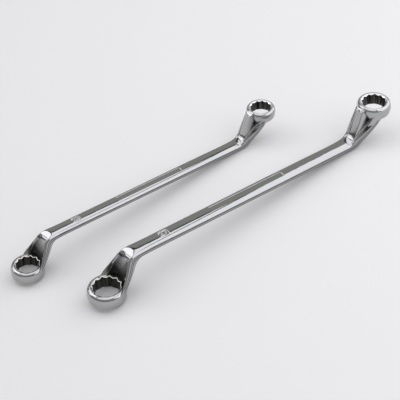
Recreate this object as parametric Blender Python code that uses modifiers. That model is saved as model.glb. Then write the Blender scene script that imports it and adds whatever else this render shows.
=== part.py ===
# A pair of double-ended offset ring spanners of one pattern, a large and a smaller one.
# Each is a single chrome-plated forging: a slim shank, a neck at each end that drops or
# rises to a ring, and a twelve-point opening through each ring. The two rings face
# opposite ways, so the spanner is the same after half a turn about its cross axis.
import bpy
import bmesh
import math
import numpy as np
from mathutils import Matrix, Vector

# Driving sizes of the large spanner, in metres
NEAR_FLATS = 0.027            # nut size of the larger ring
FAR_FLATS = 0.024             # nut size of the smaller ring
NEAR_RING_DIAMETER = 0.0408
FAR_RING_DIAMETER = 0.0364
NEAR_RING_HEIGHT = 0.0155
FAR_RING_HEIGHT = 0.0145
SHANK_WIDTH = 0.0184
SHANK_THICKNESS = 0.0106
SHANK_LENGTH = 0.300          # between the corners of the two bends
NECK_REACH = 0.028            # along the shank, from a bend's corner to its ring's axis
NECK_RISE = 0.0355            # square to the shank, from its middle to a ring's middle
RIDGE_WIDTH = 0.0021          # flat top of the neck's side walls
KEEL_WIDTH = 0.0104           # middle rib on the neck's working side
KEEL_END = 0.0210             # from a ring's axis out to the end of its rib
KEEL_DROP = 0.0003            # how far below the ring's face the rib's end starts
LAND_WIDTH = 0.0038           # flat edge of a side wall on the neck's working side
RING_EDGE = 0.0030            # rounding of a ring's rim on its working face
RING_BACK_EDGE = 0.0040       # rounding of its rim on the other face
RING_CROWN = 0.0004           # swell of a ring's wall at mid height
MOUTH_CHAMFER = 0.0006        # lead-in round an opening on the working face
PANEL_LENGTH = 0.095          # sunk panel on the shank's upper side
PANEL_WIDTH = 0.0072
PANEL_DEPTH = 0.0006
PANEL_OFFSET = 0.0025         # the panel's middle, past the shank's middle
OVERRUN = 0.010               # how far a cutter runs past what it cuts
MERGE_DISTANCE = 0.00001
WELD_DISTANCE = 0.000001

# The smaller spanner is the same pattern, with nut sizes of its own
SMALL_PATTERN_SHARE = 0.87
SMALL_NEAR_FLATS = 0.023
SMALL_FAR_FLATS = 0.021
SMALL_BACK = 0.0864           # how far it lies to the side of the large one
SMALL_ALONG = -0.068          # and how far along it

# Where the shank's own sections lie, as shares of half its length
SHANK_SECTION_SHARES = (-0.62, -0.36, -0.12, 0.12, 0.36, 0.62)

# The rib's end starts inside the ring's wall, at this share of the ring's radius, and
# slopes down from there to the rib
KEEL_ROOT_SHARE = 0.8
KEEL_SLOPE = math.radians(22)

# Counts
RING_SIDES = 60
RIM_STEPS = 4
POINTS = 12
NECK_STATIONS = 7
BEND_STATIONS = 4
CAGE_LEVELS = 1

# Lines of a section, counted from the middle of the dish, that stay crisp
CREST_LINES = (3, 5, 8)
INNER_LINES = (2, 6)
CREST_CREASE_SHARE = 0.6
INNER_CREASE_SHARE = 0.4


def start_clean():
    for item in list(bpy.data.objects):
        bpy.data.objects.remove(item, do_unlink=True)


def new_collection(name):
    group = bpy.data.collections.new(name)
    bpy.context.scene.collection.children.link(group)
    return group


def chrome(name, colour, roughness):
    material = bpy.data.materials.new(name)
    material.use_nodes = True
    shader = material.node_tree.nodes["Principled BSDF"]
    shader.inputs["Base Color"].default_value = colour
    shader.inputs["Metallic"].default_value = 1.0
    shader.inputs["Roughness"].default_value = roughness
    return material


def spanner_sizes(scale, near_flats, far_flats):
    # Every length of one spanner; the flats are given, the rest follow the pattern
    return {
        "near_flats": near_flats,
        "far_flats": far_flats,
        "near_radius": NEAR_RING_DIAMETER * scale / 2,
        "far_radius": FAR_RING_DIAMETER * scale / 2,
        "near_height": NEAR_RING_HEIGHT * scale,
        "far_height": FAR_RING_HEIGHT * scale,
        "half_width": SHANK_WIDTH * scale / 2,
        "half_thickness": SHANK_THICKNESS * scale / 2,
        "half_length": SHANK_LENGTH * scale / 2,
        "reach": NECK_REACH * scale,
        "rise": NECK_RISE * scale,
        "ridge": RIDGE_WIDTH * scale,
        "keel": KEEL_WIDTH * scale / 2,
        "keel_end": KEEL_END * scale,
        "keel_drop": KEEL_DROP * scale,
        "land": LAND_WIDTH * scale,
        "edge": RING_EDGE * scale,
        "back_edge": RING_BACK_EDGE * scale,
        "crown": RING_CROWN * scale,
        "chamfer": MOUTH_CHAMFER * scale,
        "panel_length": PANEL_LENGTH * scale,
        "panel_width": PANEL_WIDTH * scale,
        "panel_depth": PANEL_DEPTH * scale,
        "panel_offset": PANEL_OFFSET * scale,
        "overrun": OVERRUN * scale,
    }


def arc_point(first, corner, last, share):
    # A point on the smooth arc that leaves first and reaches last, pulled to the corner
    start = Vector(first).lerp(Vector(corner), share)
    end = Vector(corner).lerp(Vector(last), share)
    return start.lerp(end, share)


def neck_rails(size, radius, height):
    # Rails run along one side of the neck, from inside the ring to the shank, in the order
    # of a section: dish, side wall, flank, side wall, valley, keel. Places are (along,
    # across, up) from the ring's middle: the shank lies up and along.
    reach = size["reach"]
    rise = size["rise"]
    wide = size["half_width"]
    thick = size["half_thickness"]
    ridge = size["ridge"]
    land = size["land"]
    keel = size["keel"]
    keel_end = size["keel_end"]
    face = height / 2
    side = radius
    neck = wide * radius / size["near_radius"]
    top = rise + thick
    under = rise - thick
    # Each rail: start inside the ring, pull point, end at the bend, pull point, shank
    dish_middle = [
        (0.59 * radius, 0, 0.60 * face), (0.61 * reach, 0, 0.49 * rise),
        (0.88 * reach, 0, 0.95 * rise),
        (0.95 * reach, 0, top), (1.42 * reach, 0, top)]
    dish_half = [
        (0.55 * radius, 0.48 * side, 0.75 * face), (0.60 * reach, 0.54 * side, 0.50 * rise),
        (0.87 * reach, 0.58 * neck, 0.955 * rise),
        (0.94 * reach, 0.52 * wide, top), (1.42 * reach, 0.50 * wide, top - 0.03 * thick)]
    ridge_inner = [
        (0.22 * radius, 0.96 * side - ridge, 0.60 * face),
        (0.50 * reach, 0.94 * side - ridge, 0.48 * rise),
        (0.84 * reach, 1.14 * neck - ridge, 1.01 * rise),
        (0.98 * reach, 0.92 * wide - ridge / 3, top - 0.04 * thick),
        (1.42 * reach, 0.80 * wide, top - 0.25 * thick)]
    ridge_outer = [
        (0.12 * radius, 0.98 * side, 0.40 * face), (0.50 * reach, 0.96 * side, 0.43 * rise),
        (0.88 * reach, 1.14 * neck, 0.965 * rise),
        (1.00 * reach, 1.02 * wide, top - 0.35 * thick),
        (1.42 * reach, 0.96 * wide, top - 0.60 * thick)]
    flank = [
        (0, side, -0.15 * face), (0.59 * reach, 0.98 * side, 0.42 * rise),
        (0.98 * reach, 1.11 * neck, 0.87 * rise),
        (1.10 * reach, 1.01 * wide, rise), (1.43 * reach, wide, rise)]
    edge_outer = [
        (-0.10 * radius, 0.99 * side, -0.60 * face), (0.57 * reach, 1.01 * side, 0.32 * rise),
        (1.12 * reach, 1.06 * neck, 0.76 * rise),
        (1.24 * reach, wide, under + 0.30 * thick),
        (1.46 * reach, 0.96 * wide, under + 0.60 * thick)]
    edge_inner = [
        (0.35 * radius, 0.94 * side, -0.82 * face), (0.67 * reach, 0.70 * side, 0.19 * rise),
        (1.14 * reach, 1.00 * neck - land / 2, 0.755 * rise),
        (1.29 * reach, 0.83 * wide, under + 0.08 * thick),
        (1.50 * reach, 0.80 * wide, under + 0.25 * thick)]
    valley = [
        (0.55 * radius, 0.46 * side, 0.50 * face), (0.70 * reach, 0.52 * side, 0.26 * rise),
        (1.12 * reach, 0.66 * neck, 0.785 * rise),
        (1.30 * reach, 0.50 * wide, under), (1.52 * reach, 0.50 * wide, under + 0.03 * thick)]
    keel_corner = [
        (keel_end, 1.05 * keel, -0.56 * face), (0.88 * reach, 1.12 * keel, 0.28 * rise),
        (1.12 * reach, 0.95 * keel, 0.775 * rise),
        (1.32 * reach, 0.60 * keel, under), (1.56 * reach, 0.46 * keel, under)]
    keel_middle = [
        (keel_end, 0, -0.56 * face), (0.885 * reach, 0, 0.28 * rise),
        (1.13 * reach, 0, 0.770 * rise),
        (1.33 * reach, 0, under), (1.56 * reach, 0, under)]
    return [dish_middle, dish_half, ridge_inner, ridge_outer, flank,
            edge_outer, edge_inner, valley, keel_corner, keel_middle]


def rail_places(rail):
    # The neck's stations, and then the bend's
    places = []
    for step in range(NECK_STATIONS):
        places.append(arc_point(rail[0], rail[1], rail[2], step / (NECK_STATIONS - 1)))
    for step in range(1, BEND_STATIONS + 1):
        places.append(arc_point(rail[2], rail[3], rail[4], step / BEND_STATIONS))
    return places


def end_loops(size, end):
    # Closed section loops of one end, ring first. end is -1 near, +1 far.
    if end < 0:
        radius, height = size["near_radius"], size["near_height"]
    else:
        radius, height = size["far_radius"], size["far_height"]
    ring_x = size["half_length"] + size["reach"]
    rails = [rail_places(rail) for rail in neck_rails(size, radius, height)]
    loops = []
    for station in range(len(rails[0])):
        one_side = [rail[station] for rail in rails]
        other_side = [Vector((p.x, -p.y, p.z)) for p in reversed(one_side[1:-1])]
        loop = []
        for p in one_side + other_side:
            # From the near ring's place to the shank's frame
            x = p.x - ring_x
            z = p.z - size["rise"]
            loop.append(Vector((x, p.y, z)) if end < 0 else Vector((-x, p.y, -z)))
        loops.append(loop)
    return loops


def shank_loop(size, x):
    wide = size["half_width"]
    thick = size["half_thickness"]
    keel = size["keel"]
    one_side = [
        (0, thick), (0.50 * wide, 0.97 * thick), (0.80 * wide, 0.75 * thick),
        (0.96 * wide, 0.40 * thick), (wide, 0), (0.96 * wide, -0.40 * thick),
        (0.80 * wide, -0.75 * thick), (0.50 * wide, -0.97 * thick), (0.46 * keel, -thick),
        (0, -thick)]
    other_side = [(-y, z) for y, z in reversed(one_side[1:-1])]
    return [Vector((x, y, z)) for y, z in one_side + other_side]


def match_turn(loop, reference):
    # The far end is half a turn round, so its loop is re-started to follow the near one
    count = len(loop)
    best = None
    for turned in (loop, list(reversed(loop))):
        for shift in range(count):
            candidate = turned[shift:] + turned[:shift]
            total = 0.0
            for a, b in zip(candidate, reference):
                total += math.hypot(a.y - b.y, a.z - b.z)
            if best is None or total < best[0]:
                best = (total, turned is loop, shift)
    return best[1], best[2]


def crease_pair(mesh, crease, row, following, line, share):
    # The line's edge between two sections, and its mirror image's
    for k in (line, len(row) - line):
        mesh.edges.get((row[k], following[k]))[crease] = share


def forging(name, size, group):
    near = end_loops(size, -1)
    far = end_loops(size, 1)
    middle = []
    for share in SHANK_SECTION_SHARES:
        middle.append(shank_loop(size, share * size["half_length"]))
    forward, shift = match_turn(far[-1], middle[-1])
    turned = []
    for loop in reversed(far):
        line = loop if forward else list(reversed(loop))
        turned.append(line[shift:] + line[:shift])
    mesh = bmesh.new()
    rows = []
    for loop in near + middle + turned:
        rows.append([mesh.verts.new(p) for p in loop])
    for row, following in zip(rows[:-1], rows[1:]):
        for k in range(len(row)):
            nxt = (k + 1) % len(row)
            mesh.faces.new((row[k], row[nxt], following[nxt], following[k]))
    mesh.faces.new(list(reversed(rows[0])))
    mesh.faces.new(rows[-1])
    crease = mesh.edges.layers.float.new("crease_edge")
    count = len(rows[0])
    for row in (rows[0], rows[-1]):
        for k in range(count):
            mesh.edges.get((row[k], row[(k + 1) % count]))[crease] = 1
    # The necks' lines stay crisp up to the shank. The far neck is upside down, so its lines
    # are counted from the other side.
    for lines, share in ((CREST_LINES, CREST_CREASE_SHARE), (INNER_LINES, INNER_CREASE_SHARE)):
        for k in range(NECK_STATIONS + BEND_STATIONS - 1):
            for line in lines:
                crease_pair(mesh, crease, rows[k], rows[k + 1], line, share)
                crease_pair(mesh, crease, rows[-1 - k], rows[-2 - k], count // 2 - line, share)
    bmesh.ops.recalc_face_normals(mesh, faces=mesh.faces)
    if mesh.calc_volume(signed=True) < 0:
        bmesh.ops.reverse_faces(mesh, faces=mesh.faces)
    data = bpy.data.meshes.new(name)
    mesh.to_mesh(data)
    mesh.free()
    body = bpy.data.objects.new(name, data)
    group.objects.link(body)
    smooth = body.modifiers.new("forged surface", "SUBSURF")
    smooth.levels = CAGE_LEVELS
    smooth.render_levels = CAGE_LEVELS
    return body


def turned_solid(name, profile, place, quarters, group):
    # A profile of (radius, height) pairs, from its top on the axis round to its bottom.
    # It is turned by some quarters of a facet, so that its edges clear the star's points.
    data = bpy.data.meshes.new(name)
    verts = [(r, 0, z) for r, z in profile]
    edges = [(k, k + 1) for k in range(len(verts) - 1)]
    data.from_pydata(verts, edges, [])
    item = bpy.data.objects.new(name, data)
    group.objects.link(item)
    item.location = place
    item.rotation_euler = (0, 0, quarters * math.pi / 2 / RING_SIDES)
    screw = item.modifiers.new("turn", "SCREW")
    screw.steps = RING_SIDES
    screw.render_steps = RING_SIDES
    screw.use_merge_vertices = True
    screw.merge_threshold = MERGE_DISTANCE
    return item


def rim(radius, half, edge):
    # A rounded rim: from the flat face to the wall
    points = []
    for step in range(RIM_STEPS + 1):
        turn = math.pi / 2 * (1 - step / RIM_STEPS)
        points.append((radius - edge + edge * math.cos(turn), half - edge + edge * math.sin(turn)))
    return points


def ring_profile(radius, height, size, way):
    # A barrel-shaped wall between the working face, which looks up or down, and the other
    half = height / 2
    if way > 0:
        upper, lower = size["edge"], size["back_edge"]
    else:
        upper, lower = size["back_edge"], size["edge"]
    points = [(0, half)] + rim(radius, half, upper)
    points.append((radius + size["crown"], 0))
    points += [(r, -z) for r, z in reversed(rim(radius, half, lower))]
    points.append((0, -half))
    return points


def mouth_profile(flats, half, size, way):
    # A cone that widens the opening's mouth on the working face, which looks up or down
    corner = flats / math.sqrt(3)
    wide = corner + size["chamfer"]
    deep = wide - flats / 2
    over = size["overrun"]
    points = [(0, half + over), (wide + over, half + over), (wide - deep, half - deep),
              (0, half - deep)]
    if way < 0:
        points = [(r, -z) for r, z in reversed(points)]
    return points


def star_cutter(name, flats, depth, place, group):
    # Two hexagons crossed: points at the hexagon's corners, hollows where its sides meet
    corner = flats / math.sqrt(3)
    hollow = flats / 2 / math.cos(math.pi / POINTS)
    curve = bpy.data.curves.new(name, "CURVE")
    curve.dimensions = "2D"
    curve.fill_mode = "BOTH"
    curve.extrude = depth / 2
    outline = curve.splines.new("POLY")
    outline.points.add(2 * POINTS - 1)
    for k in range(2 * POINTS):
        reach = hollow if k % 2 == 0 else corner
        turn = math.pi * k / POINTS
        outline.points[k].co = (reach * math.cos(turn), reach * math.sin(turn), 0, 1)
    outline.use_cyclic_u = True
    raw = bpy.data.objects.new(name + "_outline", curve)
    group.objects.link(raw)
    raw.location = place
    return to_mesh_object(raw, name, group)


def to_mesh_object(raw, name, group):
    bpy.context.view_layer.update()
    evaluated = raw.evaluated_get(bpy.context.evaluated_depsgraph_get())
    data = bpy.data.meshes.new_from_object(evaluated)
    mesh = bmesh.new()
    mesh.from_mesh(data)
    bmesh.ops.remove_doubles(mesh, verts=mesh.verts, dist=WELD_DISTANCE)
    bmesh.ops.recalc_face_normals(mesh, faces=mesh.faces)
    mesh.to_mesh(data)
    mesh.free()
    item = bpy.data.objects.new(name, data)
    item.matrix_world = raw.matrix_world
    group.objects.link(item)
    bpy.data.objects.remove(raw, do_unlink=True)
    return item


def box(name, sides, place, group):
    mesh = bmesh.new()
    bmesh.ops.create_cube(mesh, size=1)
    bmesh.ops.scale(mesh, verts=mesh.verts, vec=sides)
    data = bpy.data.meshes.new(name)
    mesh.to_mesh(data)
    mesh.free()
    item = bpy.data.objects.new(name, data)
    item.location = place
    group.objects.link(item)
    return item


def keel_block(name, size, radius, height, way, group):
    # The rib's end: a block that turns about its top corner inside the ring's wall, so that
    # its top slopes down from the ring's face to the rib
    root = KEEL_ROOT_SHARE * radius
    length = size["keel_end"] - root
    tall = height / 2 - size["keel_drop"]
    ring_x = size["half_length"] + size["reach"]
    corner = Vector((way * (ring_x - root), 0, way * (size["rise"] + tall)))
    inward = Vector((-way * length / 2, 0, -way * tall / 2))
    block = box(name, (length, 2 * size["keel"], tall), inward, group)
    turn = Matrix.Rotation(-KEEL_SLOPE, 4, "Y")
    block.matrix_world = Matrix.Translation(corner) @ turn @ Matrix.Translation(inward)
    return block


def combine(body, other, operation):
    # The exact solver loses most of the body at some shank widths, so the manifold one cuts
    step = body.modifiers.new(operation.lower() + " " + other.name, "BOOLEAN")
    step.operation = operation
    step.object = other
    step.solver = "MANIFOLD"


def finish_mesh(body, name, group, material):
    # The finished forging as one mesh, in the shank's own frame
    item = to_mesh_object(body, name, group)
    item.data.materials.clear()
    item.data.materials.append(material)
    item.data.shade_smooth()
    item.data.set_sharp_from_angle(angle=math.radians(30))
    return item


def spanner(name, size, group, material):
    tools = new_collection(name + " cutters")
    body = forging(name + "_forging", size, tools)
    ring_x = size["half_length"] + size["reach"]
    ends = (
        ("near", -1, size["near_radius"], size["near_height"], size["near_flats"]),
        ("far", 1, size["far_radius"], size["far_height"], size["far_flats"]),
    )
    helpers = []
    for end, way, radius, height, flats in ends:
        place = (way * ring_x, 0, way * size["rise"])
        profile = ring_profile(radius, height, size, way)
        drum = turned_solid(name + "_" + end + "_drum", profile, place, 1, tools)
        combine(body, drum, "UNION")
        block = keel_block(name + "_" + end + "_rib_end", size, radius, height, way, tools)
        combine(body, block, "UNION")
        helpers.extend([drum, block])
    for end, way, radius, height, flats in ends:
        place = (way * ring_x, 0, way * size["rise"])
        long_bore = height + 2 * size["rise"] + 2 * size["overrun"]
        star = star_cutter(name + "_" + end + "_star", flats, long_bore, place, tools)
        combine(body, star, "DIFFERENCE")
        mouth_points = mouth_profile(flats, height / 2, size, way)
        mouth = turned_solid(name + "_" + end + "_mouth", mouth_points, place, 3, tools)
        combine(body, mouth, "DIFFERENCE")
        helpers.extend([star, mouth])
    floor = size["half_thickness"] - size["panel_depth"]
    sides = (size["panel_length"], size["panel_width"], 2 * size["overrun"])
    place = (size["panel_offset"], 0, floor + size["overrun"])
    panel = box(name + "_panel", sides, place, tools)
    combine(body, panel, "DIFFERENCE")
    helpers.append(panel)
    solid = finish_mesh(body, name, group, material)
    for item in helpers:
        bpy.data.objects.remove(item, do_unlink=True)
    bpy.data.collections.remove(tools)
    return solid


def resting_matrix(item):
    # How it lies on a bench: on the near ring's face and under the far bend
    points = np.array([tuple(v.co) for v in item.data.vertices])
    low, high = 0.0, math.radians(20)
    for _ in range(40):
        tilt = (low + high) / 2
        up = points[:, 2] * math.cos(tilt) - points[:, 0] * math.sin(tilt)
        if points[np.argmin(up), 0] < 0:
            low = tilt
        else:
            high = tilt
    up = points[:, 2] * math.cos(tilt) - points[:, 0] * math.sin(tilt)
    lift = Matrix.Translation((0, 0, -float(up.min())))
    return lift @ Matrix.Rotation(tilt, 4, "Y")


def main():
    start_clean()
    group = new_collection("ring spanners")
    large_size = spanner_sizes(1, NEAR_FLATS, FAR_FLATS)
    small_size = spanner_sizes(SMALL_PATTERN_SHARE, SMALL_NEAR_FLATS, SMALL_FAR_FLATS)
    large_chrome = chrome("large spanner chrome", (0.74, 0.74, 0.76, 1), 0.10)
    small_chrome = chrome("small spanner chrome", (0.72, 0.72, 0.75, 1), 0.10)
    large = spanner("large_ring_spanner", large_size, group, large_chrome)
    small = spanner("small_ring_spanner", small_size, group, small_chrome)
    large.matrix_world = resting_matrix(large)
    small.matrix_world = Matrix.Translation((SMALL_ALONG, SMALL_BACK, 0)) @ resting_matrix(small)
    # The middle of the pair's footprint goes to the origin
    places = []
    for item in (large, small):
        for vertex in item.data.vertices:
            places.append(tuple(item.matrix_world @ vertex.co))
    places = np.array(places)
    low, high = places.min(axis=0), places.max(axis=0)
    shift = Matrix.Translation((-(low[0] + high[0]) / 2, -(low[1] + high[1]) / 2, -low[2]))
    for item in (large, small):
        item.matrix_world = shift @ item.matrix_world


main()
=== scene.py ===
import bpy
import bmesh
import math
import numpy as np
from mathutils import Matrix, Vector


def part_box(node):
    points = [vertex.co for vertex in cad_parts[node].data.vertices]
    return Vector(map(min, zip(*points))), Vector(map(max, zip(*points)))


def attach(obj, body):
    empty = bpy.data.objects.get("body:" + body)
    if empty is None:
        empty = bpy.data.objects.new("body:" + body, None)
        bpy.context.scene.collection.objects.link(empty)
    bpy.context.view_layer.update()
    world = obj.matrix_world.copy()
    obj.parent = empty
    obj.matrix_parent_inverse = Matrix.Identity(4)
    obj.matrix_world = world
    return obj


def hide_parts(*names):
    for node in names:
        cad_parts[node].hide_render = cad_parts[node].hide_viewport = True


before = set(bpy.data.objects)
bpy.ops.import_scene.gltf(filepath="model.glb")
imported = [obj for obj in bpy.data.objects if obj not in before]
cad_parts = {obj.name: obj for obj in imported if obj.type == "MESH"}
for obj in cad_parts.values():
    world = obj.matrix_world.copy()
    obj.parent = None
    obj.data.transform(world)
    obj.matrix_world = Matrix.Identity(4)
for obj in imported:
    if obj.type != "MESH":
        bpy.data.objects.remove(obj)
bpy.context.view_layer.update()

# The forging of the large spanner: a bar of tool steel, hot-forged between two dies into a
# slim oval shank with an offset neck at each end. Each neck has a spoon-shaped dish on its
# back, two side walls that wrap the ring, and a middle rib on its working side.
SHANK_LENGTH = 0.300
SHANK_WIDTH = 0.0184
SHANK_THICKNESS = 0.0106
NECK_REACH = 0.028
NECK_RISE = 0.0355
NECK_WALL = 0.0021
NECK_RIB = 0.0104
NECK_RIB_END = 0.0210
NECK_LAND = 0.0038
NEAR_RING_WIDTH = 0.0408
FAR_RING_WIDTH = 0.0364
NEAR_RING_HEIGHT = 0.0155
FAR_RING_HEIGHT = 0.0145
RING_X = SHANK_LENGTH / 2 + NECK_REACH
SHANK_SECTION_SHARES = (-0.62, -0.36, -0.12, 0.12, 0.36, 0.62)
NECK_SECTIONS = 7
BEND_SECTIONS = 4
SURFACE_LEVELS = 3


def select_nothing():
    if bpy.context.object and bpy.context.object.mode != "OBJECT":
        bpy.ops.object.mode_set(mode="OBJECT")
    bpy.ops.object.select_all(action="DESELECT")


def take_up(piece):
    # The piece alone is selected and active, and its mesh is open for work
    select_nothing()
    piece.select_set(True)
    bpy.context.view_layer.objects.active = piece
    bpy.ops.object.mode_set(mode="EDIT")
    return bmesh.from_edit_mesh(piece.data)


def neck_lines(ring_width, ring_height):
    # Ten lines run from inside the ring, along the neck, to the shank. Each has a start, a
    # pull point, the bend, a pull point and an end, as (along, across, up) from the ring's
    # middle. They go round half a section: dish, side wall, flank, side wall, valley, rib.
    radius = ring_width / 2
    face = ring_height / 2
    reach, rise = NECK_REACH, NECK_RISE
    wide, thick = SHANK_WIDTH / 2, SHANK_THICKNESS / 2
    rib, wall, land = NECK_RIB / 2, NECK_WALL, NECK_LAND / 2
    neck = wide * ring_width / NEAR_RING_WIDTH
    top, under = rise + thick, rise - thick
    dish_middle = [
        (0.59 * radius, 0, 0.60 * face),
        (0.61 * reach, 0, 0.49 * rise),
        (0.88 * reach, 0, 0.95 * rise),
        (0.95 * reach, 0, top),
        (1.42 * reach, 0, top)]
    dish_side = [
        (0.55 * radius, 0.48 * radius, 0.75 * face),
        (0.60 * reach, 0.54 * radius, 0.50 * rise),
        (0.87 * reach, 0.58 * neck, 0.955 * rise),
        (0.94 * reach, 0.52 * wide, top),
        (1.42 * reach, 0.50 * wide, top - 0.03 * thick)]
    wall_inner = [
        (0.22 * radius, 0.96 * radius - wall, 0.60 * face),
        (0.50 * reach, 0.94 * radius - wall, 0.48 * rise),
        (0.84 * reach, 1.14 * neck - wall, 1.01 * rise),
        (0.98 * reach, 0.92 * wide - wall / 3, top - 0.04 * thick),
        (1.42 * reach, 0.80 * wide, top - 0.25 * thick)]
    wall_outer = [
        (0.12 * radius, 0.98 * radius, 0.40 * face),
        (0.50 * reach, 0.96 * radius, 0.43 * rise),
        (0.88 * reach, 1.14 * neck, 0.965 * rise),
        (1.00 * reach, 1.02 * wide, top - 0.35 * thick),
        (1.42 * reach, 0.96 * wide, top - 0.60 * thick)]
    flank = [
        (0, radius, -0.15 * face),
        (0.59 * reach, 0.98 * radius, 0.42 * rise),
        (0.98 * reach, 1.11 * neck, 0.87 * rise),
        (1.10 * reach, 1.01 * wide, rise),
        (1.43 * reach, wide, rise)]
    edge_outer = [
        (-0.10 * radius, 0.99 * radius, -0.60 * face),
        (0.57 * reach, 1.01 * radius, 0.32 * rise),
        (1.12 * reach, 1.06 * neck, 0.76 * rise),
        (1.24 * reach, wide, under + 0.30 * thick),
        (1.46 * reach, 0.96 * wide, under + 0.60 * thick)]
    edge_inner = [
        (0.35 * radius, 0.94 * radius, -0.82 * face),
        (0.67 * reach, 0.70 * radius, 0.19 * rise),
        (1.14 * reach, 1.00 * neck - land, 0.755 * rise),
        (1.29 * reach, 0.83 * wide, under + 0.08 * thick),
        (1.50 * reach, 0.80 * wide, under + 0.25 * thick)]
    valley = [
        (0.55 * radius, 0.46 * radius, 0.50 * face),
        (0.70 * reach, 0.52 * radius, 0.26 * rise),
        (1.12 * reach, 0.66 * neck, 0.785 * rise),
        (1.30 * reach, 0.50 * wide, under),
        (1.52 * reach, 0.50 * wide, under + 0.03 * thick)]
    rib_corner = [
        (NECK_RIB_END, 1.05 * rib, -0.56 * face),
        (0.88 * reach, 1.12 * rib, 0.28 * rise),
        (1.12 * reach, 0.95 * rib, 0.775 * rise),
        (1.32 * reach, 0.60 * rib, under),
        (1.56 * reach, 0.46 * rib, under)]
    rib_middle = [
        (NECK_RIB_END, 0, -0.56 * face),
        (0.885 * reach, 0, 0.28 * rise),
        (1.13 * reach, 0, 0.770 * rise),
        (1.33 * reach, 0, under),
        (1.56 * reach, 0, under)]
    return [dish_middle, dish_side, wall_inner, wall_outer, flank,
            edge_outer, edge_inner, valley, rib_corner, rib_middle]


def along_arc(start, pull, end, share):
    first = Vector(start).lerp(Vector(pull), share)
    return first.lerp(Vector(pull).lerp(Vector(end), share), share)


def neck_sections(ring_width, ring_height, way):
    # Sections from inside the ring to the shank. way is -1 for the near end and 1 for the
    # far one, which is the same neck after half a turn about the spanner's cross axis.
    stations = [(0, step / (NECK_SECTIONS - 1)) for step in range(NECK_SECTIONS)]
    stations += [(2, step / BEND_SECTIONS) for step in range(1, BEND_SECTIONS + 1)]
    sections = []
    for first, share in stations:
        half = [along_arc(*line[first:first + 3], share) for line in neck_lines(ring_width, ring_height)]
        whole = half + [Vector((p.x, -p.y, p.z)) for p in reversed(half[1:-1])]
        sections.append([Vector((-way * (p.x - RING_X), p.y, -way * (p.z - NECK_RISE))) for p in whole])
    return sections


def shank_section(x):
    wide, thick, rib = SHANK_WIDTH / 2, SHANK_THICKNESS / 2, NECK_RIB / 2
    half = [
        (0, thick), (0.50 * wide, 0.97 * thick), (0.80 * wide, 0.75 * thick),
        (0.96 * wide, 0.40 * thick), (wide, 0), (0.96 * wide, -0.40 * thick),
        (0.80 * wide, -0.75 * thick), (0.50 * wide, -0.97 * thick), (0.46 * rib, -thick),
        (0, -thick)]
    whole = half + [(-y, z) for y, z in reversed(half[1:-1])]
    return [Vector((x, y, z)) for y, z in whole]


near_sections = neck_sections(NEAR_RING_WIDTH, NEAR_RING_HEIGHT, -1)
far_sections = neck_sections(FAR_RING_WIDTH, FAR_RING_HEIGHT, 1)
middle_sections = [shank_section(share * SHANK_LENGTH / 2) for share in SHANK_SECTION_SHARES]
# The far neck is upside down, so each half of its sections is counted the other way
half_count = len(far_sections[0]) // 2 + 1
turned_sections = []
for section in reversed(far_sections):
    turned_sections.append(section[half_count - 1::-1] + section[:half_count - 1:-1])
sections = near_sections + middle_sections + turned_sections

# The bar starts as one section and is drawn out section by section
select_nothing()
bpy.ops.mesh.primitive_circle_add(vertices=len(sections[0]), radius=SHANK_WIDTH / 2, fill_type="NGON")
forging = bpy.context.object
forging.name = "large_spanner"
work = take_up(forging)
corners = list(work.verts)
rows = [[vert.index for vert in corners]]
for vert, point in zip(corners, sections[0]):
    vert.co = point
for last, section in zip(sections[:-1], sections[1:]):
    bpy.ops.mesh.extrude_region_move()
    work = bmesh.from_edit_mesh(forging.data)
    work.verts.index_update()
    fresh = [vert for vert in work.verts if vert.select]
    # Each new corner lies on an old one, and goes to its place in the next section
    row = [min(fresh, key=lambda vert: (vert.co - old).length) for old in last]
    rows.append([vert.index for vert in row])
    for vert, point in zip(row, section):
        vert.co = point
work.verts.ensure_lookup_table()
bmesh.update_edit_mesh(forging.data)
bpy.ops.mesh.select_all(action="SELECT")
bpy.ops.mesh.normals_make_consistent(inside=False)
# A bar bent this far can come out with all of its faces turned inwards
if bmesh.from_edit_mesh(forging.data).calc_volume(signed=True) < 0:
    bpy.ops.mesh.flip_normals()

# The trimmed edges of the necks stay crisp, and the dish and the valleys are rounder
CRISP_LINES = (3, 5, 8)
SOFT_LINES = (2, 6)
CRISP_SHARE = 0.6
SOFT_SHARE = 0.4
END_SHARE = 0.9


def crease_lines(lines, row_pairs, share):
    bpy.ops.mesh.select_all(action="DESELECT")
    edit = bmesh.from_edit_mesh(forging.data)
    edit.verts.ensure_lookup_table()
    count = len(rows[0])
    for one, following in row_pairs:
        for line in lines:
            for place in (line, (count - line) % count):
                edge = edit.edges.get((edit.verts[rows[one][place]], edit.verts[rows[following][place]]))
                edge.select_set(True)
    bpy.ops.transform.edge_crease(value=share)


bpy.ops.mesh.select_mode(type="EDGE")
neck_rows = range(NECK_SECTIONS + BEND_SECTIONS - 1)
near_pairs = [(row, row + 1) for row in neck_rows]
far_pairs = [(len(rows) - 2 - row, len(rows) - 1 - row) for row in neck_rows]
for lines, share in ((CRISP_LINES, CRISP_SHARE), (SOFT_LINES, SOFT_SHARE)):
    crease_lines(lines, near_pairs, share)
    crease_lines([half_count - 1 - line for line in lines], far_pairs, share)
bpy.ops.mesh.select_all(action="DESELECT")
edit = bmesh.from_edit_mesh(forging.data)
edit.verts.ensure_lookup_table()
for row in (rows[0], rows[-1]):
    for one, following in zip(row, row[1:] + row[:1]):
        edit.edges.get((edit.verts[one], edit.verts[following])).select_set(True)
bpy.ops.transform.edge_crease(value=END_SHARE)
bpy.ops.object.mode_set(mode="OBJECT")
surface = forging.modifiers.new("forged surface", "SUBSURF")
surface.levels = SURFACE_LEVELS
surface.render_levels = SURFACE_LEVELS
bpy.ops.object.modifier_apply(modifier=surface.name)

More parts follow.
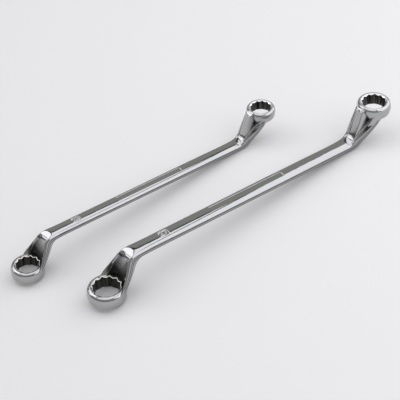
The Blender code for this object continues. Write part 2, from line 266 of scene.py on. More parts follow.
# The rings: the steel disc that the forging has at each end, turned to a slightly
# barrel-shaped wall with rounded rims. The neck's rib ends against the ring in a forged
# block that slopes down from near the working face to the rib.
RING_SIDES = 144
RING_EDGE = 0.0030
RING_EDGE_STEPS = 6
RING_BACK_EDGE = 0.0040
RING_BACK_STEPS = 7
RIM_PROFILE = 0.5
RING_SWELL = 0.0004
SWELL_PLACES = (-0.5, 0, 0.5)
RIM_SLACK = 0.00004
RIB_ROOT_SHARE = 0.8
RIB_DROP = 0.0003
RIB_END_SLOPE = math.radians(22)
RIB_END_ROUNDING = 0.0004
RIB_END_STEPS = 2


def join_solid(piece, other, operation):
    # The other solid is added to the piece or cut from it, and is used up
    select_nothing()
    bpy.context.view_layer.objects.active = piece
    step = piece.modifiers.new(operation.lower(), "BOOLEAN")
    step.operation = operation
    step.object = other
    step.solver = "MANIFOLD"
    bpy.ops.object.modifier_apply(modifier=step.name)
    bpy.data.objects.remove(other, do_unlink=True)


def round_rim(ring, height, side, width, steps):
    # The rim on the ring's upper side for side 1, and on its lower side for side -1
    work = bmesh.from_edit_mesh(ring.data)
    bpy.ops.mesh.select_all(action="DESELECT")
    for edge in work.edges:
        lowest = min(vert.co.z * side for vert in edge.verts)
        edge.select_set(lowest > height / 2 - RIM_SLACK)
    bpy.ops.mesh.bevel(offset=width, segments=steps, profile=RIM_PROFILE)


def add_ring(width, height, way):
    place = Vector((way * RING_X, 0, way * NECK_RISE))
    select_nothing()
    bpy.ops.mesh.primitive_cylinder_add(vertices=RING_SIDES, radius=width / 2, depth=height,
                                        end_fill_type="NGON", location=place)
    ring = bpy.context.object
    take_up(ring)
    bpy.ops.mesh.select_mode(type="EDGE")
    round_rim(ring, height, way, RING_EDGE, RING_EDGE_STEPS)
    round_rim(ring, height, -way, RING_BACK_EDGE, RING_BACK_STEPS)
    for share in SWELL_PLACES:
        bpy.ops.mesh.select_all(action="SELECT")
        level = place.z + share * (height / 2 - RING_BACK_EDGE)
        bpy.ops.mesh.bisect(plane_co=(0, 0, level), plane_no=(0, 0, 1))
        swell = RING_SWELL * (1 - share * share)
        factor = 1 + swell / (width / 2)
        bpy.ops.transform.resize(value=(factor, factor, 1), center_override=place)
    bpy.ops.object.mode_set(mode="OBJECT")
    join_solid(forging, ring, "UNION")


def add_rib_end(width, height, way):
    root = RIB_ROOT_SHARE * width / 2
    length = NECK_RIB_END - root
    middle = RING_X - root - length / 2
    tall = height / 2 - RIB_DROP
    select_nothing()
    bpy.ops.mesh.primitive_cube_add(size=1, location=(0, 0, 0))
    block = bpy.context.object
    take_up(block)
    bpy.ops.mesh.select_all(action="SELECT")
    bpy.ops.transform.resize(value=(length, NECK_RIB, tall))
    bpy.ops.transform.translate(value=(way * middle, 0, way * (NECK_RISE + tall / 2)))
    top_corner = (way * (RING_X - root), 0, way * (NECK_RISE + tall))
    bpy.ops.transform.rotate(value=RIB_END_SLOPE, orient_axis="Y", center_override=top_corner)
    bpy.ops.mesh.bevel(offset=RIB_END_ROUNDING, segments=RIB_END_STEPS)
    bpy.ops.object.mode_set(mode="OBJECT")
    join_solid(forging, block, "UNION")


for width, height, way in ((NEAR_RING_WIDTH, NEAR_RING_HEIGHT, -1), (FAR_RING_WIDTH, FAR_RING_HEIGHT, 1)):
    add_ring(width, height, way)
    add_rib_end(width, height, way)

# The small spanner: a steel forging of its own, from the same pattern at a smaller scale.
# It is copied before the openings are cut, because its nuts have sizes of their own.
SMALL_SHARE = 0.87
select_nothing()
small_forging = forging.copy()
small_forging.data = forging.data.copy()
small_forging.name = "small_spanner"
bpy.context.scene.collection.objects.link(small_forging)
small_forging.select_set(True)
bpy.context.view_layer.objects.active = small_forging
bpy.ops.transform.resize(value=(SMALL_SHARE, SMALL_SHARE, SMALL_SHARE), center_override=(0, 0, 0))
bpy.ops.object.transform_apply(location=False, rotation=False, scale=True)

# The openings: twelve-point holes broached through the rings and on into the necks' dishes,
# with slightly blunt points. Each has a turned lead-in on the working face and another on
# the ring's back, where the cutter also faces the steel up to the dish.
NEAR_NUT = 0.027
FAR_NUT = 0.024
SMALL_NEAR_NUT = 0.023
SMALL_FAR_NUT = 0.021
OPENING_POINTS = 12
TIP_ROUNDING = 0.00035
TIP_STEPS = 2
MOUTH_CHAMFER = 0.0006
MOUTH_SLOPE = math.radians(32)
CUT_OVERRUN = 0.010
FLAT_SHARE = 0.97


def broach(piece, nut, place, depth):
    corner = nut / math.sqrt(3)
    hollow_share = nut / 2 / math.cos(math.pi / OPENING_POINTS) / corner
    select_nothing()
    bpy.ops.mesh.primitive_circle_add(vertices=2 * OPENING_POINTS, radius=corner, fill_type="NGON",
                                      location=place - Vector((0, 0, depth / 2)))
    tool = bpy.context.object
    work = take_up(tool)
    bpy.ops.mesh.select_mode(type="VERT")
    bpy.ops.mesh.select_all(action="DESELECT")
    for vert in work.verts:
        step = round(math.atan2(vert.co.y, vert.co.x) / (math.pi / OPENING_POINTS))
        vert.select_set(step % 2 == 0)
    bpy.ops.transform.resize(value=(hollow_share, hollow_share, 1), center_override=place)
    bpy.ops.mesh.select_all(action="SELECT")
    bpy.ops.mesh.bevel(offset=TIP_ROUNDING, affect="VERTICES", segments=TIP_STEPS)
    bpy.ops.mesh.select_all(action="SELECT")
    bpy.ops.mesh.extrude_region_move(TRANSFORM_OT_translate={"value": (0, 0, depth)})
    bpy.ops.mesh.select_all(action="SELECT")
    bpy.ops.mesh.normals_make_consistent(inside=False)
    bpy.ops.object.mode_set(mode="OBJECT")
    join_solid(piece, tool, "DIFFERENCE")


def chamfer_mouth(piece, nut, place, height, scale, way):
    wide = nut / math.sqrt(3) + MOUTH_CHAMFER * scale
    narrow = nut / 2
    over = CUT_OVERRUN * scale
    deep = (wide - narrow) * math.tan(MOUTH_SLOPE)
    cone_height = over + deep
    middle = place + Vector((0, 0, way * (height / 2 - deep + cone_height / 2)))
    select_nothing()
    bpy.ops.mesh.primitive_cone_add(vertices=RING_SIDES, radius1=narrow,
                                    radius2=wide + over / math.tan(MOUTH_SLOPE),
                                    depth=cone_height, location=middle)
    tool = bpy.context.object
    take_up(tool)
    if way < 0:
        bpy.ops.mesh.select_all(action="SELECT")
        bpy.ops.transform.rotate(value=math.pi, orient_axis="X", center_override=middle)
    bpy.ops.object.mode_set(mode="OBJECT")
    join_solid(piece, tool, "DIFFERENCE")


def face_back(piece, nut, place, height, scale, way):
    # The cutter faces the ring's back round the opening, up to the dish, and breaks its edge
    wide = nut / math.sqrt(3) + MOUTH_CHAMFER * scale
    narrow = nut / 2
    over = CUT_OVERRUN * scale
    face = place - Vector((0, 0, way * height / 2))
    select_nothing()
    bpy.ops.mesh.primitive_cylinder_add(vertices=RING_SIDES, radius=wide, depth=over, end_fill_type="NGON",
                                        location=face - Vector((0, 0, way * over / 2)))
    tool = bpy.context.object
    work = take_up(tool)
    bpy.ops.mesh.select_mode(type="FACE")
    bpy.ops.mesh.select_all(action="DESELECT")
    for side in work.faces:
        side.select_set(side.normal.z * way > FLAT_SHARE)
    deep = Vector((0, 0, way * (wide - narrow) * math.tan(MOUTH_SLOPE)))
    bpy.ops.mesh.extrude_region_move(TRANSFORM_OT_translate={"value": deep})
    bpy.ops.transform.resize(value=(narrow / wide, narrow / wide, 1), center_override=face + deep)
    bpy.ops.object.mode_set(mode="OBJECT")
    join_solid(piece, tool, "DIFFERENCE")


def open_rings(piece, scale, near_nut, far_nut):
    for way, nut, height in ((-1, near_nut, NEAR_RING_HEIGHT), (1, far_nut, FAR_RING_HEIGHT)):
        place = Vector((way * RING_X, 0, way * NECK_RISE)) * scale
        depth = (height + 2 * NECK_RISE + 2 * CUT_OVERRUN) * scale
        broach(piece, nut, place, depth)
        chamfer_mouth(piece, nut, place, height * scale, scale, way)
        face_back(piece, nut, place, height * scale, scale, way)


open_rings(forging, 1, NEAR_NUT, FAR_NUT)
open_rings(small_forging, SMALL_SHARE, SMALL_NEAR_NUT, SMALL_FAR_NUT)

# The sunk panel on the shank's upper side: a shallow field that the die presses into the
# steel, with rounded corners, leaning walls and a flat floor. It is left bare.
PANEL_LENGTH = 0.095
PANEL_WIDTH = 0.0072
PANEL_DEPTH = 0.0006
PANEL_OFFSET = 0.0025
PANEL_CORNER = 0.0012
FIELD_DRAFT = 0.8
FIELD_TOOL_SHARE = 3
FIELD_CORNER_STEPS = 4


def sink_field(piece, scale, middle, length, width, depth, corner):
    select_nothing()
    bpy.ops.mesh.primitive_cube_add(size=1, location=(0, 0, 0))
    tool = bpy.context.object
    take_up(tool)
    bpy.ops.mesh.select_all(action="SELECT")
    tall = FIELD_TOOL_SHARE * depth
    floor = SHANK_THICKNESS / 2 - depth
    bpy.ops.transform.resize(value=(length, width, tall))
    bpy.ops.transform.translate(value=(middle, 0, floor + tall / 2))
    work = bmesh.from_edit_mesh(tool.data)
    bpy.ops.mesh.select_mode(type="EDGE")
    bpy.ops.mesh.select_all(action="DESELECT")
    for edge in work.edges:
        edge.select_set(abs(edge.verts[0].co.z - edge.verts[1].co.z) > tall / 2)
    bpy.ops.mesh.bevel(offset=corner, segments=FIELD_CORNER_STEPS)
    # The walls lean outwards by the draft, so that the die comes free
    bpy.ops.mesh.select_mode(type="VERT")
    bpy.ops.mesh.select_all(action="DESELECT")
    work = bmesh.from_edit_mesh(tool.data)
    for vert in work.verts:
        vert.select_set(vert.co.z > floor + tall / 2)
    draft = 2 * tall * FIELD_DRAFT
    top_middle = (middle, 0, floor + tall)
    bpy.ops.transform.resize(value=(1 + draft / length, 1 + draft / width, 1), center_override=top_middle)
    bpy.ops.mesh.select_all(action="SELECT")
    bpy.ops.mesh.normals_make_consistent(inside=False)
    bpy.ops.transform.resize(value=(scale, scale, scale), center_override=(0, 0, 0))
    bpy.ops.object.mode_set(mode="OBJECT")
    join_solid(piece, tool, "DIFFERENCE")


sink_field(forging, 1, PANEL_OFFSET, PANEL_LENGTH, PANEL_WIDTH, PANEL_DEPTH, PANEL_CORNER)
sink_field(small_forging, SMALL_SHARE, PANEL_OFFSET, PANEL_LENGTH, PANEL_WIDTH, PANEL_DEPTH, PANEL_CORNER)

# The size marks beside the near rings: a small sunk field in the steel with the nut's size
# standing in it as a raised number, stamped cold before plating.
MARK_PLACE = -0.1050
MARK_LENGTH = 0.0108
MARK_WIDTH = 0.0088
MARK_DEPTH = 0.0005
MARK_CORNER = 0.0020
NUMBER_HEIGHT = 0.0076
NUMBER_BODY_SHARE = 1.35
NUMBER_STROKE_SHARE = 0.02
NUMBER_CURVE_STEPS = 3
MERGE_SHARE = 0.02


def stamp_number(piece, scale, number):
    sink_field(piece, scale, MARK_PLACE, MARK_LENGTH, MARK_WIDTH, MARK_DEPTH, MARK_CORNER)
    select_nothing()
    bpy.ops.object.text_add(location=(0, 0, 0))
    figures = bpy.context.object
    figures.data.body = number
    figures.data.align_x = "CENTER"
    figures.data.align_y = "CENTER"
    figures.data.size = NUMBER_HEIGHT * NUMBER_BODY_SHARE
    figures.data.offset = NUMBER_HEIGHT * NUMBER_STROKE_SHARE
    figures.data.extrude = MARK_DEPTH / 2
    figures.data.bevel_depth = MARK_DEPTH / 2
    figures.data.bevel_resolution = 0
    figures.data.resolution_u = NUMBER_CURVE_STEPS
    bpy.ops.object.convert(target="MESH")
    figures = bpy.context.object
    take_up(figures)
    bpy.ops.mesh.select_all(action="SELECT")
    bpy.ops.mesh.remove_doubles(threshold=MARK_DEPTH * MERGE_SHARE)
    bpy.ops.mesh.normals_make_consistent(inside=False)
    bpy.ops.transform.translate(value=(MARK_PLACE, 0, SHANK_THICKNESS / 2 - MARK_DEPTH))
    bpy.ops.transform.resize(value=(scale, scale, scale), center_override=(0, 0, 0))
    bpy.ops.object.mode_set(mode="OBJECT")
    join_solid(piece, figures, "UNION")


stamp_number(forging, 1, "27")
stamp_number(small_forging, SMALL_SHARE, "23")

# The polished chrome: a thin bright plate over the steel that copies what is under it. The
# outside has fine polishing lines and slow waves, the dishes and pockets keep the grain of the
# forging, made near black with painted shade, the openings' edges get a painted highlight, and a
# pair of painted dark reflection lines follows the parting seam.
REST_TILT = math.radians(7.22)
CHROME_DARK = (0.42, 0.425, 0.43, 1)
CHROME_LIGHT = (0.46, 0.465, 0.47, 1)
CHROME_ROUGHNESS = (0.04, 0.10)
# The skin's colours: the forging's grain, made near black with painted shade in the dishes and pockets
SKIN_SHADE_DARK = (0.005, 0.007, 0.006, 1)
SKIN_SHADE_LIGHT = (0.046, 0.050, 0.046, 1)
SKIN_ROUGHNESS = (0.20, 0.42)
# The painted highlight on the openings' edges: a pale colour where the rounded edge would catch light
EDGE_HIGHLIGHT_COLOUR = (0.92, 0.89, 0.82, 1)
EDGE_ROUGHNESS = 0.45
EDGE_WIDTH_SHARE = 0.045
EDGE_FADE_SHARE = 0.7
# Painted dark reflection lines, a pair along the parting seam
REFLECTION_LINE_COLOUR = (0.045, 0.045, 0.05, 1)
REFLECTION_LINE_HEIGHT = 0.0012
REFLECTION_LINE_WIDTH = 0.0013
GRAIN_DETAIL = 4.0
GRAIN_ROUGHNESS = 0.62
# Each grain is its stretch along, across and up, and its contrast
LINE_GRAIN = ((30, 1400, 1400), 1.0)
PATCH_GRAIN = ((60, 160, 160), 1.6)
WAVE_GRAIN = ((22, 70, 70), 1.0)
SKIN_GRAIN = ((620, 620, 620), 2.2)
# Each relief is its strength and its depth
WAVE_RELIEF = (0.6, 0.00022)
LINE_RELIEF = (0.25, 0.000004)
SKIN_RELIEF = (0.7, 0.00012)
FLAT_PAIRS = 3
FIRST_HEXAGON_TURN = math.radians(45)
SECOND_HEXAGON_TURN = math.radians(15)


def set_sockets(tree, node, inputs):
    # Each socket is joined to another node's output or set to a value
    for socket, source in inputs.items():
        if isinstance(source, bpy.types.NodeSocket):
            tree.links.new(source, node.inputs[socket])
        else:
            node.inputs[socket].default_value = source


def value_node(tree, kind, operation, inputs):
    node = tree.nodes.new(kind)
    if operation:
        node.operation = operation
    set_sockets(tree, node, inputs)
    return node


def grain_group():
    # Stretched grain: lines or speckles by the stretch given, as a level from 0 to 1
    group = bpy.data.node_groups.new("tool grain", "ShaderNodeTree")
    for name, kind in (("Place", "NodeSocketVector"), ("Stretch", "NodeSocketVector"),
                       ("Contrast", "NodeSocketFloat")):
        group.interface.new_socket(name=name, in_out="INPUT", socket_type=kind)
    group.interface.new_socket(name="Level", in_out="OUTPUT", socket_type="NodeSocketFloat")
    entry = group.nodes.new("NodeGroupInput")
    leave = group.nodes.new("NodeGroupOutput")
    scaled = value_node(group, "ShaderNodeVectorMath", "MULTIPLY",
                        {0: entry.outputs["Place"], 1: entry.outputs["Stretch"]})
    noise = value_node(group, "ShaderNodeTexNoise", None,
                       {"Vector": scaled.outputs[0], "Scale": 1.0, "Detail": GRAIN_DETAIL,
                        "Roughness": GRAIN_ROUGHNESS})
    centred = value_node(group, "ShaderNodeMath", "SUBTRACT", {0: noise.outputs["Fac"], 1: 0.5})
    spread = value_node(group, "ShaderNodeMath", "MULTIPLY",
                        {0: centred.outputs[0], 1: entry.outputs["Contrast"]})
    level = value_node(group, "ShaderNodeMath", "ADD", {0: spread.outputs[0], 1: 0.5})
    level.use_clamp = True
    group.links.new(level.outputs[0], leave.inputs["Level"])
    return group


tool_grain = grain_group()


def grain(tree, place, stretch, contrast):
    node = tree.nodes.new("ShaderNodeGroup")
    node.node_tree = tool_grain
    set_sockets(tree, node, {"Place": place, "Stretch": stretch, "Contrast": contrast})
    return node.outputs["Level"]


def hexagon_level(group, place, first_turn):
    # How far a place lies from the axis, as a share of the flats' distance of a hexagon
    level = None
    for step in range(FLAT_PAIRS):
        turn = first_turn + step * math.pi / FLAT_PAIRS
        along = value_node(group, "ShaderNodeVectorMath", "DOT_PRODUCT",
                           {0: place, 1: (math.cos(turn), math.sin(turn), 0)})
        size = value_node(group, "ShaderNodeMath", "ABSOLUTE", {0: along.outputs["Value"]}).outputs[0]
        if level:
            size = value_node(group, "ShaderNodeMath", "MAXIMUM", {0: level, 1: size}).outputs[0]
        level = size
    return level


def opening_highlight_group():
    # A narrow band round a twelve-point opening, whose outline is two hexagons crossed, where the
    # openings' edges get a painted highlight. The place is from the opening's axis, with the flats
    # at a distance of one.
    group = bpy.data.node_groups.new("opening edge highlight", "ShaderNodeTree")
    group.interface.new_socket(name="Place", in_out="INPUT", socket_type="NodeSocketVector")
    group.interface.new_socket(name="Width", in_out="INPUT", socket_type="NodeSocketFloat")
    group.interface.new_socket(name="Mask", in_out="OUTPUT", socket_type="NodeSocketFloat")
    entry = group.nodes.new("NodeGroupInput")
    leave = group.nodes.new("NodeGroupOutput")
    one = hexagon_level(group, entry.outputs["Place"], FIRST_HEXAGON_TURN)
    other = hexagon_level(group, entry.outputs["Place"], SECOND_HEXAGON_TURN)
    star = value_node(group, "ShaderNodeMath", "MINIMUM", {0: one, 1: other})
    beyond = value_node(group, "ShaderNodeMath", "SUBTRACT", {0: star.outputs[0], 1: 1.0})
    share = value_node(group, "ShaderNodeMath", "DIVIDE",
                       {0: beyond.outputs[0], 1: entry.outputs["Width"]})
    mask = value_node(group, "ShaderNodeMapRange", None,
                      {"Value": share.outputs[0], "From Min": EDGE_FADE_SHARE, "From Max": 1.0,
                       "To Min": 1.0, "To Max": 0.0})
    group.links.new(mask.outputs["Result"], leave.inputs["Mask"])
    return group


def between(tree, level, low, high):
    return value_node(tree, "ShaderNodeMapRange", None,
                      {"Value": level, "To Min": low, "To Max": high}).outputs["Result"]


def tint(tree, share, first, second):
    # From the first colour to the second, each of them plain or another node's output
    mixed = tree.nodes.new("ShaderNodeMix")
    mixed.data_type = "RGBA"
    set_sockets(tree, mixed, {"Factor": share, 6: first, 7: second})
    return mixed.outputs[2]


def surface_value(tree, name):
    node = tree.nodes.new("ShaderNodeAttribute")
    node.attribute_name = name
    return node


def relief(tree, strength, distance, height, normal=None):
    inputs = {"Strength": strength, "Distance": distance, "Height": height}
    if normal:
        inputs["Normal"] = normal
    return value_node(tree, "ShaderNodeBump", None, inputs).outputs[0]


def new_metal(name):
    # The grain follows the spanner's own length, which the rest pose tilts
    metal = bpy.data.materials.new(name)
    metal.use_nodes = True
    tree = metal.node_tree
    shader = tree.nodes["Principled BSDF"]
    shader.inputs["Metallic"].default_value = 1.0
    place = tree.nodes.new("ShaderNodeTexCoord").outputs["Object"]
    turned = value_node(tree, "ShaderNodeMapping", None, {"Vector": place})
    turned.inputs["Rotation"].default_value = (0, -REST_TILT, 0)
    return metal, tree, shader, turned.outputs["Vector"]


polished, tree, shader, place = new_metal("polished chrome")
lines = grain(tree, place, *LINE_GRAIN)
patches = grain(tree, place, *PATCH_GRAIN)
waves = grain(tree, place, *WAVE_GRAIN)
skin = grain(tree, place, *SKIN_GRAIN)
hollow = surface_value(tree, "forging skin and shade").outputs["Fac"]
# The band round each opening where the highlight is painted
edge = tree.nodes.new("ShaderNodeGroup")
edge.node_tree = opening_highlight_group()
from_axis = surface_value(tree, "opening place").outputs["Vector"]
set_sockets(tree, edge, {"Place": from_axis, "Width": EDGE_WIDTH_SHARE})
edge_highlight_mask = edge.outputs["Mask"]
# The painted dark reflection lines lie at a set distance from the parting seam
reflection_line_distance = surface_value(tree, "reflection line distance").outputs["Fac"]
from_line = value_node(tree, "ShaderNodeMath", "SUBTRACT", {0: reflection_line_distance, 1: REFLECTION_LINE_HEIGHT})
off_line = value_node(tree, "ShaderNodeMath", "ABSOLUTE", {0: from_line.outputs[0]})
reflection_line_mask = value_node(tree, "ShaderNodeMapRange", None,
                       {"Value": off_line.outputs[0], "From Min": REFLECTION_LINE_WIDTH / 4,
                        "From Max": REFLECTION_LINE_WIDTH / 2, "To Min": 1.0, "To Max": 0.0}).outputs["Result"]
bright = tint(tree, patches, CHROME_DARK, CHROME_LIGHT)
# The dishes and pockets get the skin's grain with painted shade
shaded_skin = tint(tree, skin, SKIN_SHADE_DARK, SKIN_SHADE_LIGHT)
colour = tint(tree, hollow, bright, shaded_skin)
reflection_lined = tint(tree, reflection_line_mask, colour, REFLECTION_LINE_COLOUR)
edge_highlighted = tint(tree, edge_highlight_mask, reflection_lined, EDGE_HIGHLIGHT_COLOUR)
tree.links.new(edge_highlighted, shader.inputs["Base Color"])
fine = between(tree, patches, *CHROME_ROUGHNESS)
coarse = between(tree, skin, *SKIN_ROUGHNESS)
gloss = value_node(tree, "ShaderNodeMix", None, {"Factor": hollow, 2: fine, 3: coarse})
edge_gloss = value_node(tree, "ShaderNodeMix", None,
                        {"Factor": edge_highlight_mask, 2: gloss.outputs[0], 3: EDGE_ROUGHNESS})
tree.links.new(edge_gloss.outputs[0], shader.inputs["Roughness"])
wavy = relief(tree, *WAVE_RELIEF, waves)
lined = relief(tree, *LINE_RELIEF, lines, wavy)
pitted = value_node(tree, "ShaderNodeMath", "MULTIPLY", {0: skin, 1: hollow})
skinned = relief(tree, *SKIN_RELIEF, pitted.outputs[0], lined)
tree.links.new(skinned, shader.inputs["Normal"])

# The ground chrome: the rings' working faces with their lead-ins, and the raised numbers.
# There the steel is ground or cut and not polished before plating, so that the plate comes
# out satin. The lead-ins on the rings' backs are polished with the rest.
GROUND_DARK = (0.62, 0.62, 0.63, 1)
GROUND_LIGHT = (0.78, 0.78, 0.79, 1)
GROUND_ROUGHNESS = (0.26, 0.36)
GROUND_GRAIN = ((900, 900, 900), 1.4)
GROUND_RELIEF = (0.2, 0.00002)
ground, tree, shader, place = new_metal("ground chrome")
turns = grain(tree, place, *GROUND_GRAIN)
tree.links.new(tint(tree, turns, GROUND_DARK, GROUND_LIGHT), shader.inputs["Base Color"])
tree.links.new(between(tree, turns, *GROUND_ROUGHNESS), shader.inputs["Roughness"])
tree.links.new(relief(tree, *GROUND_RELIEF, turns), shader.inputs["Normal"])

# The broached steel: the walls of the openings, where the plate is thin and dull over the
# upright lines that the broach leaves, made near black with painted shade inside the openings.
BROACHED_SHADE_DARK = (0.008, 0.009, 0.008, 1)
BROACHED_SHADE_LIGHT = (0.11, 0.105, 0.10, 1)
BROACHED_ROUGHNESS = (0.20, 0.40)
BROACHED_GRAIN = ((520, 520, 14), 3.4)
BROACHED_RELIEF = (0.5, 0.00008)
broached_and_shaded, tree, shader, place = new_metal("broached steel and shade")
cuts = grain(tree, place, *BROACHED_GRAIN)
tree.links.new(tint(tree, cuts, BROACHED_SHADE_DARK, BROACHED_SHADE_LIGHT), shader.inputs["Base Color"])
tree.links.new(between(tree, cuts, *BROACHED_ROUGHNESS), shader.inputs["Roughness"])
tree.links.new(relief(tree, *BROACHED_RELIEF, cuts), shader.inputs["Normal"])

# Where each finish lies: the openings' walls are broached, the working faces with their
# lead-ins and the numbers are ground, and all else is polished. The forging's skin with its
# painted shade shows in the dishes and pockets, and a pair of painted dark reflection lines runs
# along the shank and round the necks.
FINISHES = (polished, ground, broached_and_shaded)
POLISHED, GROUND, BROACHED = 0, 1, 2
FACE_LEVELS = (0.98, 1.02)
WALL_REACH = 1.02
UPRIGHT_SHARE = 0.3
NUMBER_TOP_SHARE = 0.9
SKIN_LINES = (0, 1, 7)
SKIN_BLEND = 0.0012
SKIN_END = 0.88
SKIN_FADE = 0.26
FLANK_LINE = 4
FLANK_SAMPLES = 100
LINE_SAMPLES = 16
REFLECTION_LINE_END_SHARE = 1.04
CHUNK_SIZE = 2000


def face_finish(face, scale, ends):
    lowest, highest = FACE_LEVELS
    # The size mark's raised figures and its rim are bare of polish
    x, y, z = face.center / scale
    beside = abs(x - MARK_PLACE) < MARK_LENGTH / 2 + MARK_DEPTH and abs(y) < MARK_WIDTH / 2 + MARK_DEPTH
    if beside and z > SHANK_THICKNESS / 2 - NUMBER_TOP_SHARE * MARK_DEPTH:
        return GROUND
    finish = POLISHED
    for way, nut, width, height in ends:
        x = face.center.x - way * RING_X * scale
        z = face.center.z - way * NECK_RISE * scale
        radius = math.hypot(x, face.center.y)
        corner = nut / math.sqrt(3)
        level = abs(z) / (height / 2 * scale)
        if radius < corner * WALL_REACH and abs(face.normal.z) < UPRIGHT_SHARE:
            finish = BROACHED
        elif radius < corner + 2 * MOUTH_CHAMFER and level < highest and way * z > 0:
            finish = GROUND
        elif lowest < level < highest and way * face.normal.z > FLAT_SHARE and radius < width / 2 * scale:
            finish = GROUND
    return finish


def line_samples(width, height, way):
    # Points along the neck's lines on both sides, each with its line's number and half
    samples = []
    for number, line in enumerate(neck_lines(width, height)):
        count = FLANK_SAMPLES if number == FLANK_LINE else LINE_SAMPLES
        for first in (0, 2):
            for share in np.linspace(0, 1, count):
                p = along_arc(*line[first:first + 3], share)
                x, z = -way * (p.x - RING_X), -way * (p.z - NECK_RISE)
                for side in (-1, 1):
                    samples.append((x, side * p.y, z, number, first))
    return np.array(samples)


def write_layer(piece, name, kind, key, values):
    layer = piece.data.attributes.new(name, kind, "POINT")
    layer.data.foreach_set(key, values)


def mark_finishes(piece, scale, near_nut, far_nut):
    piece.data.materials.clear()
    for finish in FINISHES:
        piece.data.materials.append(finish)
    ends = ((-1, near_nut, NEAR_RING_WIDTH, NEAR_RING_HEIGHT),
            (1, far_nut, FAR_RING_WIDTH, FAR_RING_HEIGHT))
    for face in piece.data.polygons:
        face.material_index = face_finish(face, scale, ends)
    points = np.array([tuple(vert.co) for vert in piece.data.vertices]) / scale
    skin_and_shade_share = np.zeros(len(points))
    flank_end = neck_lines(NEAR_RING_WIDTH, NEAR_RING_HEIGHT)[FLANK_LINE][-1]
    on_shank = np.abs(points[:, 0]) < RING_X - flank_end[0]
    # Distance from the parting seam, where the painted dark reflection lines go
    reflection_line_distance = np.where(on_shank, np.abs(points[:, 2]), SHANK_WIDTH)
    from_axes = np.zeros_like(points)
    for way, nut, width, height in ends:
        samples = line_samples(width, height, way)
        on_skin = np.isin(samples[:, 3], SKIN_LINES) & (samples[:, 4] == 0)
        on_flank = samples[:, 3] == FLANK_LINE
        near = np.nonzero(points[:, 0] * way > (SHANK_LENGTH / 2 - NECK_REACH) / 2)[0]
        for chunk in np.array_split(near, max(1, len(near) // CHUNK_SIZE)):
            gaps = np.linalg.norm(points[chunk, None, :] - samples[None, :, :3], axis=2)
            to_skin = gaps[:, on_skin].min(axis=1)
            to_smooth = gaps[:, ~on_skin].min(axis=1)
            to_flank = gaps[:, on_flank].min(axis=1)
            # The painted reflection lines end where the ring is turned
            to_axis = np.hypot(points[chunk, 0] - way * RING_X, points[chunk, 1])
            past_shank = ~on_shank[chunk] & (to_axis > REFLECTION_LINE_END_SHARE * width / 2)
            reflection_line_distance[chunk[past_shank]] = to_flank[past_shank]
            share = np.clip(0.5 + (to_smooth - to_skin) / (2 * SKIN_BLEND), 0, 1)
            # The skin and its painted shade fade out towards the bend, where the polishing belt reaches in
            reach = (RING_X - points[chunk, 0] * way) / NECK_REACH
            skin_and_shade_share[chunk] = share * np.clip((SKIN_END - reach) / SKIN_FADE, 0, 1)
        own = points[:, 0] * way > 0
        from_axes[own] = (points[own] - (way * RING_X, 0, way * NECK_RISE)) * scale / (nut / 2)
        # Both ends count their places towards the shank, so that none lies between them
        from_axes[own, 0] *= -way
    write_layer(piece, "opening place", "FLOAT_VECTOR", "vector", from_axes.ravel())
    write_layer(piece, "reflection line distance", "FLOAT", "value", reflection_line_distance)
    write_layer(piece, "forging skin and shade", "FLOAT", "value", skin_and_shade_share)


mark_finishes(forging, 1, NEAR_NUT, FAR_NUT)
mark_finishes(small_forging, SMALL_SHARE, SMALL_NEAR_NUT, SMALL_FAR_NUT)

# The two spanners on the bench: each lies loose as it comes to rest, on the edge of one
# ring's face and on the bend at the far end, where its solid lies.
STEEPEST_TILT = math.radians(20)
TILT_STEPS = 40
SMOOTH_ANGLE = math.radians(30)


def mesh_points(piece):
    return np.array([tuple(vert.co) for vert in piece.data.vertices])


def lay_down(piece, node, body):
    points = mesh_points(piece)
    low, high = 0.0, STEEPEST_TILT
    for _ in range(TILT_STEPS):
        tilt = (low + high) / 2
        heights = points[:, 2] * math.cos(tilt) - points[:, 0] * math.sin(tilt)
        if points[np.argmin(heights), 0] < 0:
            low = tilt
        else:
            high = tilt
    piece.data.transform(Matrix.Rotation(tilt, 4, "Y"))
    box_low, box_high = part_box(node)
    points = mesh_points(piece)
    own_low, own_high = points.min(axis=0), points.max(axis=0)
    shift = (box_low + box_high) / 2 - Vector((own_low + own_high) / 2)
    shift.z = box_low.z - own_low[2]
    piece.data.transform(Matrix.Translation(shift))
    select_nothing()
    piece.select_set(True)
    bpy.context.view_layer.objects.active = piece
    bpy.ops.object.shade_smooth_by_angle(angle=SMOOTH_ANGLE)
    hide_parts(node)
    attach(piece, body)


lay_down(forging, "large_ring_spanner", "large_spanner")
lay_down(small_forging, "small_ring_spanner", "small_spanner")

# The bench: a plain sheet of pale grey paper, wide enough to fill every view. It isn't part
# of the spanners.
FLOOR_SIZE = 24.0
FLOOR_COLOUR = (0.80, 0.80, 0.80, 1)
FLOOR_ROUGHNESS = 0.9
select_nothing()
bpy.ops.mesh.primitive_plane_add(size=FLOOR_SIZE)
bench = bpy.context.object
bench.name = "bench"
paper = bpy.data.materials.new("pale paper")
paper.use_nodes = True
paper_shader = paper.node_tree.nodes["Principled BSDF"]
paper_shader.inputs["Base Color"].default_value = FLOOR_COLOUR
paper_shader.inputs["Roughness"].default_value = FLOOR_ROUGHNESS
bench.data.materials.append(paper)

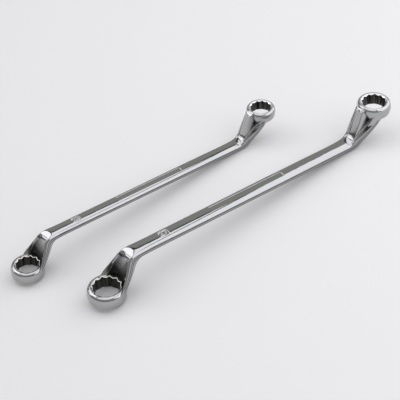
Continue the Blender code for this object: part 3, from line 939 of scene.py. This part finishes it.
# The studio: painted grey walls and a white ceiling, as (height, level) pairs from the
# floor up to overhead. The side away from the camera has a dark border under the ceiling,
# and the camera's own side is darker low down.
AWAY_LEVELS = ((0.00, 0.18), (0.10, 0.20), (0.20, 0.41), (0.665, 0.41), (0.68, 0.05),
               (0.735, 0.05), (0.75, 1.6))
CAMERA_SIDE_LEVELS = ((0.00, 0.05), (0.12, 0.06), (0.22, 0.32), (0.80, 0.40), (0.93, 1.25))
AWAY_DIRECTION = (0.481, 0.877, 0)
SIDE_SHARPNESS = 3.0
WALL_TINT = (1.0, 0.99, 0.93)
LAMP_TINT = (0.975, 0.965, 1.0)

world = bpy.data.worlds.new("studio")
bpy.context.scene.world = world
world.use_nodes = True
tree = world.node_tree
direction = tree.nodes.new("ShaderNodeTexCoord").outputs["Generated"]
parts = value_node(tree, "ShaderNodeSeparateXYZ", None, {"Vector": direction})


def wall_levels(levels):
    node = value_node(tree, "ShaderNodeValToRGB", None, {"Fac": parts.outputs["Z"]})
    ramp = node.color_ramp
    while len(ramp.elements) < len(levels):
        ramp.elements.new(0.5)
    for element, (height, level) in zip(ramp.elements, levels):
        element.position = height
        tint_of_level = LAMP_TINT if level > 1 else WALL_TINT
        element.color = tuple(level * part for part in tint_of_level) + (1,)
    return node.outputs["Color"]


facing = value_node(tree, "ShaderNodeVectorMath", "DOT_PRODUCT", {0: direction, 1: AWAY_DIRECTION})
away = value_node(tree, "ShaderNodeMath", "MULTIPLY_ADD",
                  {0: facing.outputs["Value"], 1: SIDE_SHARPNESS, 2: 0.5})
away.use_clamp = True
room = tint(tree, away.outputs[0], wall_levels(CAMERA_SIDE_LEVELS), wall_levels(AWAY_LEVELS))
tree.links.new(room, tree.nodes["Background"].inputs["Color"])

# The soft boxes: three lamps behind white cloths, each in a black cloth frame, set round
# the bench and turned to its middle. The camera doesn't see them, and the chrome does.
FRAME_WIDTH = 0.09
FRAME_GAP = 0.01
FRAME_COLOUR = (0.03, 0.03, 0.03, 1)
black_cloth = bpy.data.materials.new("black cloth")
black_cloth.use_nodes = True
black_cloth.node_tree.nodes["Principled BSDF"].inputs["Base Color"].default_value = FRAME_COLOUR


def soft_box(name, place, width, height, level):
    place = Vector(place)
    turn = (-place).to_track_quat("-Z", "Y").to_euler()
    bpy.ops.object.light_add(type="AREA", location=place, rotation=turn)
    lamp = bpy.context.object
    lamp.name = name
    lamp.data.shape = "RECTANGLE"
    lamp.data.size = width
    lamp.data.size_y = height
    lamp.data.color = LAMP_TINT
    lamp.data.energy = level * math.pi * width * height
    lamp.visible_camera = False
    bpy.ops.mesh.primitive_plane_add(size=1, location=place, rotation=turn)
    cloth_frame = bpy.context.object
    cloth_frame.name = name + "_frame"
    cloth_frame.scale = (width + 2 * FRAME_WIDTH, height + 2 * FRAME_WIDTH, 1)
    cloth_frame.location = place + place.normalized() * FRAME_GAP
    cloth_frame.data.materials.append(black_cloth)
    cloth_frame.visible_camera = False


soft_box("right_box", place=(0.77, -0.37, 0.57), width=2.0, height=1.15, level=1.65)
soft_box("left_box", place=(-0.75, 0.95, 0.58), width=0.7, height=0.5, level=1.75)
soft_box("key_box", place=(-0.29, 0.72, 0.92), width=0.9, height=0.6, level=2.1)

# The camera: at the photograph's place and with its lens, held a little askew as it was
# there. It was fitted to the large spanner's outline.
CAMERA_PLACE = Vector((-0.53758, -0.98025, 1.10313))
CAMERA_TARGET = Vector((-0.01564, -0.01084, 0.02))
CAMERA_ROLL = math.radians(-11.015)
CAMERA_LENS = 130.05
CAMERA_FILM_WIDTH = 36
CAMERA_CLIP = 0.01
bpy.ops.object.camera_add(location=CAMERA_PLACE)
camera = bpy.context.object
look = (CAMERA_TARGET - CAMERA_PLACE).to_track_quat("-Z", "Y")
camera.rotation_euler = (look.to_matrix() @ Matrix.Rotation(CAMERA_ROLL, 3, "Z")).to_euler()
camera.data.lens = CAMERA_LENS
camera.data.sensor_width = CAMERA_FILM_WIDTH
camera.data.clip_start = CAMERA_CLIP
bpy.context.scene.camera = camera
bpy.context.scene.view_settings.view_transform = "Standard"
